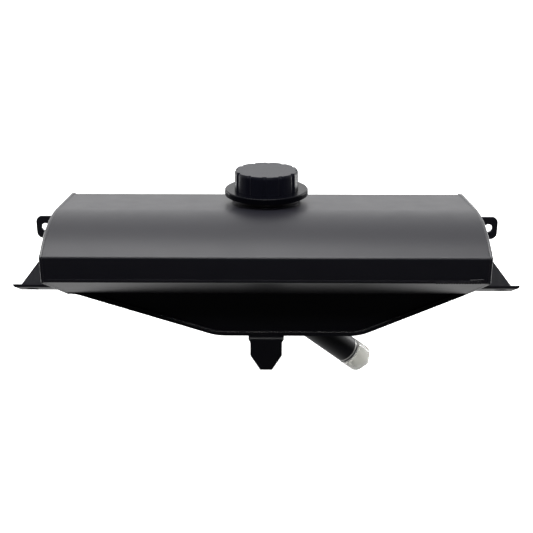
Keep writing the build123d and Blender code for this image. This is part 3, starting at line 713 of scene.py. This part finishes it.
def return_bead(material):
    """Bead round the return bung on the rear panel."""
    low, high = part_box("return_bung")
    centre = (low + high) / 2
    radius = (high.x - low.x) / 2 + 0.5 * MM
    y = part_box("rear_panel")[1].y + 0.3 * MM
    ring = [Vector((centre.x + radius * math.cos(a), y, centre.z + radius * math.sin(a)))
            for a in turn_angles(160)]
    data = bead("return_bead", ring, away_from(centre, 1), True, 2.2 * MM, 1.9 * MM, 7.0, rough=0.2)
    install(shaded("return_bead", data, BEAD_SHADE), material, "return_weld")


def islands(node):
    """The point sets of a CAD node's separate solids."""
    mesh = stitched(node)
    left = dict.fromkeys(mesh.verts)
    found = []
    while left:
        stack = [left.popitem()[0]]
        group = []
        while stack:
            vert = stack.pop()
            group.append(vert.co.copy())
            for edge in vert.link_edges:
                mate = edge.other_vert(vert)
                if mate in left:
                    del left[mate]
                    stack.append(mate)
        found.append(group)
    mesh.free()
    return sorted(found, key=lambda g: (round(g[0].x, 4), round(g[0].y, 4), round(g[0].z, 4)))


def bracket_beads(material):
    """Short fillet beads at the feet, the ears and the tab, one along each CAD bead."""
    beads = []
    for index, group in enumerate(islands("bracket_welds")):
        coords = np.array([tuple(p) for p in group])
        mean = coords.mean(axis=0)
        centre = Vector(mean)
        direction = Vector(np.linalg.svd(coords - mean, full_matrices=False)[2][0])
        reach = [(Vector(p) - centre).dot(direction) for p in coords]
        ends = [centre + direction * distance for distance in (min(reach), max(reach))]
        beads.append(bead("bracket_bead", ends, direction.orthogonal().normalized(), False,
                          1.5 * MM, 1.5 * MM, 20.0 + index, rough=0.2))
    whole = joined("bracket_beads", beads)
    install(shaded("bracket_beads", whole, BEAD_SHADE), material, "bracket_welds")


# ---------------------------------------------------------------- moulded cap and dust cover
KNOB_FLUTES = 12
KNOB_STEPS = 720
KNOB_TURN = math.radians(-3.5)
KNOB_EDGE = 0.9 * MM
KNOB_WALL = 4.8 * MM
KNOB_ROOF = 3.4 * MM
KNOB_DRAFT = 0.3 * MM
KNOB_DISH = 0.12 * MM
SIDE_LEVELS = 6
SCOOP_HEIGHT = 2.4 * MM
FLUTE_DEPTH = 1.5 * MM
FLUTE_SCOOP = 0.6 * MM
FLUTE_HALF_ANGLE = math.radians(5.4)


def flute(angle):
    """Depth share of the grip's flutes at an angle, 1 in the middle of a flute and 0 on the lands."""
    pitch = TAU / KNOB_FLUTES
    away = abs((angle + pitch / 2) % pitch - pitch / 2) / FLUTE_HALF_ANGLE
    return 0.0 if away >= 1 else (0.5 + 0.5 * math.cos(math.pi * away)) ** 0.6


def knob(material):
    """Fluted grip, hollow below; each flute runs out through the top edge in a sloping scoop."""
    low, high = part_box("cap_knob")
    centre = Vector(((low.x + high.x) / 2, (low.y + high.y) / 2, 0))
    radius = max((Vector((v.co.x, v.co.y, 0)) - centre).length for v in NODES["cap_knob"].data.vertices)
    top = high.z
    brim = top - SCOOP_HEIGHT
    levels = []
    for k in range(SIDE_LEVELS + 1):
        share = k / SIDE_LEVELS
        levels.append((radius - KNOB_DRAFT * share, low.z + (brim - low.z) * share, FLUTE_DEPTH))
    for k in range(1, SIDE_LEVELS + 1):
        share = k / SIDE_LEVELS
        turn = math.pi / 2 * share
        rise = (SCOOP_HEIGHT - KNOB_EDGE) * share + KNOB_EDGE * math.sin(turn) * share
        inset = KNOB_DRAFT + KNOB_EDGE * (1 - math.cos(turn))
        levels.append((radius - inset, brim + rise, FLUTE_DEPTH + FLUTE_SCOOP * share))
    pole = 0.2 * MM
    bore = radius - KNOB_WALL
    ceiling = top - KNOB_ROOF
    fillet = 1.5 * MM
    levels += [(radius - 5.2 * MM, top, 0.0), (radius - 8 * MM, top - KNOB_DISH / 3, 0.0),
               (radius / 2, top - KNOB_DISH * 5 / 6, 0.0), (pole, top - KNOB_DISH, 0.0)]
    levels += [(pole, ceiling, 0.0), (bore - fillet, ceiling, 0.0),
               (bore, ceiling - fillet, 0.0), (bore, low.z, 0.0)]
    rings = []
    for angle in turn_angles(KNOB_STEPS):
        out = Vector((math.sin(angle + KNOB_TURN), -math.cos(angle + KNOB_TURN), 0))
        cut = flute(angle)
        rings.append([centre + out * (r - depth * cut) + Vector((0, 0, z)) for r, z, depth in levels])
    piece = shaded("grip_knob", ring_mesh("grip_knob", rings, True), 40)
    install(piece, material, "cap_knob")


def relief_coil(material):
    """The relief valve's spring, copied into a piece with its own mesh."""
    piece = shaded("relief_coil", NODES["relief_spring"].data.copy(), 40)
    install(piece, material, "relief_spring")
    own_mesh(piece)


def nub_radius(origin, axis, end):
    """Radius of the cover's pull nub, measured on the last 2 mm of the CAD cover."""
    reach = []
    for vert in NODES["outlet_cover"].data.vertices:
        place = vert.co - origin
        along = place.dot(axis)
        if along > end - 2 * MM:
            reach.append((place - axis * along).length)
    return max(reach)


COVER_WALL = 0.9 * MM
NUB_LENGTH = 8.5 * MM


def dust_cover(material):
    """Soft push-on cup with a rolled rim, a rounded shoulder and a pull nub."""
    axis, tip = outlet_frame()
    start, end, radius = along_axis("outlet_cover", tip, axis)
    nub = nub_radius(tip, axis, end)
    shoulder = end - NUB_LENGTH
    pole = 0.15 * MM
    ceiling = shoulder - 1.5 * MM
    outer = [(radius - COVER_WALL, start), (radius - 0.3 * MM, start)]
    outer += arc_points((radius - 0.5 * MM, start + 0.5 * MM), 0.5 * MM, -60, 60, 5)
    outer += [(radius - 0.3 * MM, start + 1.6 * MM), (radius - 0.15 * MM, start + 6 * MM)]
    outer += arc_points((radius - 3.2 * MM, shoulder - 3.0 * MM), 3.0 * MM, 0, 90, 9)
    outer += arc_points((nub + 0.9 * MM, shoulder + 0.9 * MM), 0.9 * MM, 270, 180, 5)
    outer += arc_points((nub - 1.6 * MM, end - 1.6 * MM), 1.6 * MM, 0, 90, 7)
    outer += [(pole, end)]
    inner = [(pole, ceiling), (radius - 4.4 * MM, ceiling)]
    inner += arc_points((radius - COVER_WALL - 2.2 * MM, ceiling - 2.2 * MM), 2.2 * MM, 90, 0, 6)
    data = lathe_mesh("dust_cup", outer + inner, tip, axis)
    install(shaded("dust_cup", data, 50), material, "outlet_cover")


# ---------------------------------------------------------------- studio
PITCH_DEG = 20.4
ROLL_DEG = 0.02
ORBIT_DEG = 0.45
SENSOR = 36.0
FOCAL_SHARE = 900 / 533
LENS_SHIFT = 0.0019
CAMERA_BACK = 0.7439
CAMERA_RISE = 0.2687
BEND_Z = 0.019


def camera():
    """Camera at the view's angle, set back and up from the top shell's front bend."""
    bend = Vector((0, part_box("top_front_shell")[0].y, BEND_Z))
    data = bpy.data.cameras.new("camera")
    data.sensor_width = SENSOR
    data.lens = SENSOR * FOCAL_SHARE
    data.shift_x = LENS_SHIFT
    data.clip_start = 0.01
    data.clip_end = 100
    view = bpy.data.objects.new("camera", data)
    bpy.context.scene.collection.objects.link(view)
    orbit = Matrix.Rotation(math.radians(ORBIT_DEG), 4, "Z")
    place = Matrix.Translation((0, -CAMERA_BACK, CAMERA_RISE))
    tilt = Matrix.Rotation(math.radians(90 - PITCH_DEG), 4, "X")
    roll = Matrix.Rotation(math.radians(ROLL_DEG), 4, "Z")
    view.matrix_world = Matrix.Translation(bend) @ orbit @ place @ tilt @ roll
    bpy.context.scene.camera = view


FLOOR_Z = cad_box[0].z - 1 * MM
FLOOR_HALF = 15.0
FLOOR_GLOW = 0.8
WALL_RADIUS = 14.0
WALL_HEIGHT = 12.0
WALL_SIDES = 64
WALL_GLOW = 1.0


def paper_sheet(name, verts, faces, finish_name, glow):
    """Pale, glowing paper that neither lights the object nor shows in its reflections."""
    data = bpy.data.meshes.new(name)
    data.from_pydata(verts, [], faces)
    sheet = bpy.data.objects.new(name, data)
    bpy.context.scene.collection.objects.link(sheet)
    paper = Finish(finish_name, roughness=0.9, specular=0.1)
    paper.feed("Base Color", paper.colours(paper.noise(6), (0.90, 0.90, 0.90), (0.93, 0.93, 0.93)))
    paper.set("Emission Color", (1, 1, 1, 1))
    paper.set("Emission Strength", glow)
    data.materials.append(paper.material)
    sheet.visible_glossy = False
    sheet.visible_diffuse = False
    return sheet


def floor():
    """Plain pale floor, wide enough to fill the view."""
    corners = [(x * FLOOR_HALF, y * FLOOR_HALF, FLOOR_Z) for x, y in ((-1, -1), (1, -1), (1, 1), (-1, 1))]
    plane = paper_sheet("floor", corners, [(0, 1, 2, 3)], "floor_paper", FLOOR_GLOW)


def backdrop():
    """Pale wall round the floor, so that every view has a plain ground. It casts no shadow."""
    ring = [(WALL_RADIUS * math.cos(a), WALL_RADIUS * math.sin(a)) for a in turn_angles(WALL_SIDES)]
    verts = [(x, y, z) for z in (FLOOR_Z, FLOOR_Z + WALL_HEIGHT) for x, y in ring]
    faces = []
    for i in range(WALL_SIDES):
        j = (i + 1) % WALL_SIDES
        faces.append((i, j, WALL_SIDES + j, WALL_SIDES + i))
    wall = paper_sheet("backdrop", verts, faces, "wall_paper", WALL_GLOW)
    wall.visible_shadow = False


def softbox(name, place, target, size, power):
    """Rectangular lamp aimed at a target and unseen by the camera."""
    data = bpy.data.lights.new(name, "AREA")
    data.shape = "RECTANGLE"
    data.size, data.size_y = size
    data.energy = power
    lamp = bpy.data.objects.new(name, data)
    bpy.context.scene.collection.objects.link(lamp)
    lamp.location = place
    lamp.rotation_mode = "QUATERNION"
    lamp.rotation_quaternion = (Vector(target) - Vector(place)).to_track_quat("-Z", "Y")
    lamp.visible_camera = False


BACK_LIGHT = 1.6
SIDE_LIGHT = 0.9
FRONT_LIGHT = 0.012
FILL_LIGHT = 0.05
UNDER_LIGHT = 0.55
CORNER_LIGHT = 6.0
BAND_FADE = 0.08


def studio_world():
    """White surroundings, graded by direction.

    They are brightest behind the object, fair beside it and under it, dim in front of it and nearly
    dark just below the horizon, save for a low patch behind each side that the end beads reflect.
    """
    world = bpy.data.worlds.new("studio")
    bpy.context.scene.world = world
    world.use_nodes = True
    tree = world.node_tree
    background = tree.nodes["Background"]
    parts = tree.nodes.new("ShaderNodeSeparateXYZ")
    tree.links.new(tree.nodes.new("ShaderNodeTexCoord").outputs["Generated"], parts.inputs["Vector"])

    def graded(axis, start, end, low, high):
        return smooth_range(tree, parts.outputs[axis], start, end, low, high)

    def combined(operation, first, second):
        node = tree.nodes.new("ShaderNodeMath")
        node.operation = operation
        tree.links.new(first, node.inputs[0])
        tree.links.new(second, node.inputs[1])
        return node.outputs["Value"]

    def band(axis, start, end, level=1):
        """The level between two directions along an axis, falling smoothly to 0 at both."""
        rising = graded(axis, start, start + BAND_FADE, 0, level)
        falling = graded(axis, end - BAND_FADE, end, 1, 0)
        return combined("MULTIPLY", rising, falling)

    side_light = graded("Y", -0.55, 0.05, 0, SIDE_LIGHT)
    back_light = graded("Y", 0.25, 0.85, 0, BACK_LIGHT - SIDE_LIGHT)
    above = graded("Z", -0.10, 0.06, 0, 1)
    below = graded("Z", -0.56, -0.42, UNDER_LIGHT, 0)
    surround = combined("MULTIPLY", combined("ADD", side_light, back_light), combined("ADD", above, below))
    fill_above = graded("Z", -0.02, 0.25, FRONT_LIGHT, FILL_LIGHT)
    fill_below = graded("Z", -0.85, -0.60, FILL_LIGHT, 0)
    fill = combined("ADD", fill_above, fill_below)
    sides = combined("ADD", band("X", 0.50, 0.92), band("X", -0.92, -0.50))
    behind = graded("Y", 0.30, 0.42, 0, 1)
    patches = combined("MULTIPLY", combined("MULTIPLY", sides, behind), band("Z", -0.48, -0.06, CORNER_LIGHT))
    level = combined("ADD", combined("ADD", surround, fill), patches)
    tree.links.new(level, background.inputs["Strength"])
    background.inputs["Color"].default_value = (1, 1, 1, 1)


# ---------------------------------------------------------------- assembly
coat = powder_coat("black_powder_coat", 0.42, 0.385)
bead_coat = powder_coat("bead_powder_coat", 0.80, 0.28)
black = moulded_black("moulded_black", 0.11, 0.29, 0.41, 0.006)
# The cap flange gets a darker, less glossy copy of the knob's moulded black; its darker tone is painted shade.
flange_shaded_black = moulded_black("moulded_flange_shaded_black", 0.06, 0.17, 0.27, 0.002)
outlet_axis, outlet_tip = outlet_frame()
outlet_turn = outlet_axis.to_track_quat("Z", "Y").to_euler()
FINISHES = {
    "black_powder_coat": coat,
    "black_plastic": black,
    "nitrile": nitrile(),
    "bare_steel": turned_steel("bare_steel", (0.90, 0.89, 0.86), 0.34, 3000, outlet_turn, outlet_tip),
    "spring_steel": spring_wire(),
    "stainless": woven_stainless(),
    "natural_nylon": natural_nylon(),
    "foam": open_foam(),
    "brass": brass(),
    "clear_plastic": milky_polyethylene(),
}
for node_name, node_object in NODES.items():
    node_object.data.materials.clear()
    node_object.data.materials.append(FINISHES[SLOT_OF[node_name]])
# The flange and plug take that darker copy, whose darker tone is painted shade.
NODES["cap_base"].data.materials[0] = flange_shaded_black

for plate, width in (
        ("top_front_shell", 0.5), ("underside_plate", 0.5), ("sump_front_plate", 0.4), ("rear_panel", 0.5),
        ("sump_pan", 0.6), ("left_end_plate", 0.6), ("right_end_plate", 0.6), ("left_ear", 0.5),
        ("right_ear", 0.5), ("left_foot_bracket", 0.5), ("right_foot_bracket", 0.5), ("locating_tab", 0.5)):
    softened(plate, width * MM, coat)

for hand in (-1, 1):
    end_weld(hand, bead_coat)
front_seam_bead(coat)
rear_seam_bead(coat)
sump_bead(bead_coat)
neck_bead(coat)
outlet_bead(coat)
return_bead(coat)
bracket_beads(bead_coat)
knob(black)
relief_coil(FINISHES["spring_steel"])
dust_cover(FINISHES["clear_plastic"])

camera()
floor()
backdrop()
studio_world()
softbox("overhead", (-0.06, -0.30, 1.15), (-0.02, -0.12, 0), (1.3, 0.75), 22.5)
for hand in (-1, 1):
    softbox("strip", (hand * 0.99, 0.64, 0.10), (0, -0.04, 0.04), (0.12, 0.5), 2)
softbox("front", (0.0, -1.15, 0.90), (0, -0.10, 0), (0.22, 0.2), 5)
bpy.context.scene.view_settings.view_transform = "Standard"
